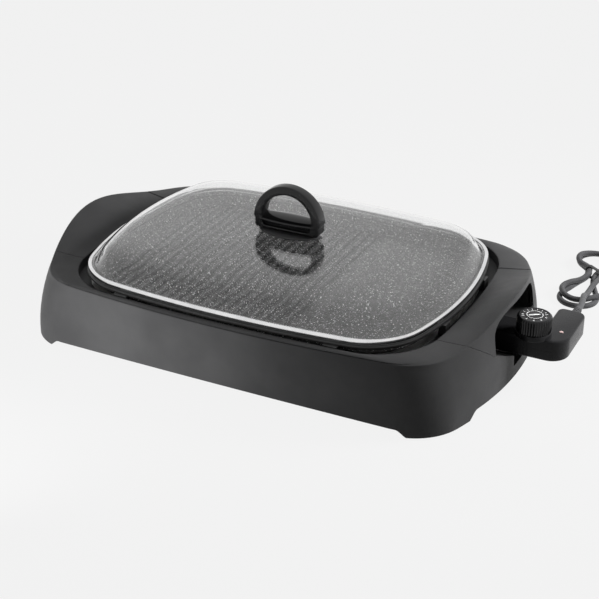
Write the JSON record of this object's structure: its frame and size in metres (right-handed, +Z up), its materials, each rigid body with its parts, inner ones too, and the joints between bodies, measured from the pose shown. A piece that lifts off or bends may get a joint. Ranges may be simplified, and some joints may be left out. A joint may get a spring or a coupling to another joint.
{
  "type": "electric indoor grill with lid",
  "caption": "Electric indoor grill with a ribbed plate in a moulded base, a glass lid that lifts off by a loop handle and a plug-in heat controller.",
  "frame": {"origin": "on the worktop, under the middle of the base", "axes": "+X along the base towards the controller's end, +Y towards the back, +Z up"},
  "size_m": [0.5448, 0.4549, 0.151],
  "materials": {
    "charcoal_plastic": "satin charcoal moulding",
    "black_plastic": "glossy black phenolic",
    "dial_plastic": "satin black moulding",
    "cover_plastic": "plain black moulding",
    "foot_rubber": "matt rubber",
    "screw_steel": "zinc-plated steel",
    "sheet_steel": "plain aluminised sheet",
    "tray_coating": "black coated sheet",
    "tube_steel": "darkened heating-tube sheath",
    "ceramic": "unglazed ceramic insulator",
    "stone_coating": "die-cast plate with a mottled grey non-stick coating",
    "lid_glass": "clear tempered glass",
    "rim_steel": "polished steel band",
    "contact_brass": "plain brass",
    "lamp": "clear red lens",
    "cord_jacket": "satin cord jacket"
  },
  "bodies": {
    "base": {"base_housing": "charcoal_plastic", "left_handle": "charcoal_plastic", "right_handle": "charcoal_plastic", "bottom_cover": "cover_plastic", "rubber_feet": "foot_rubber", "base_screws": "screw_steel", "handle_screws": "screw_steel", "heat_shield": "sheet_steel", "drip_tray": "tray_coating", "heating_element": "tube_steel", "element_supports": "sheet_steel", "element_clips": "sheet_steel", "terminal_block": "ceramic", "terminal_pins": "screw_steel", "terminal_screws": "screw_steel", "probe_guide": "screw_steel"},
    "plate": {"grill_plate": "stone_coating"},
    "lid": {"lid_glass": "lid_glass", "lid_rim": "rim_steel", "lid_handle": "black_plastic", "handle_seat": "black_plastic", "lid_washer": "foot_rubber", "lid_screw": "screw_steel"},
    "controller": {"controller_top": "charcoal_plastic", "controller_bottom": "charcoal_plastic", "socket_block": "ceramic", "socket_contacts": "contact_brass", "probe_rod": "screw_steel", "thermostat_frame": "sheet_steel", "contact_springs": "contact_brass", "pilot_lamp": "lamp", "indicator_lens": "lamp", "controller_screws": "screw_steel", "strain_relief": "cord_jacket", "cord": "cord_jacket", "cord_hank": "cord_jacket", "cord_tie": "cover_plastic", "plug_body": "cord_jacket", "plug_blades": "contact_brass"},
    "dial": {"dial_knob": "dial_plastic", "dial_shaft": "screw_steel"}
  },
  "joints": [
    {"name": "plate_lift", "type": "slide", "parent": "base", "child": "plate", "axis": [0, 0, 1], "range_m": [0, 0.12]},
    {"name": "lid_lift", "type": "slide", "parent": "plate", "child": "lid", "axis": [0, 0, 1], "range_m": [0, 0.15]},
    {"name": "controller_pull", "type": "slide", "parent": "base", "child": "controller", "axis": [1, 0, 0], "range_m": [0, 0.12]},
    {"name": "dial_turn", "type": "hinge", "parent": "controller", "child": "dial", "pos_m": [0.256, -0.007, 0.0587], "axis": [0, 0, -1], "range_deg": [0, 270]}
  ]
}
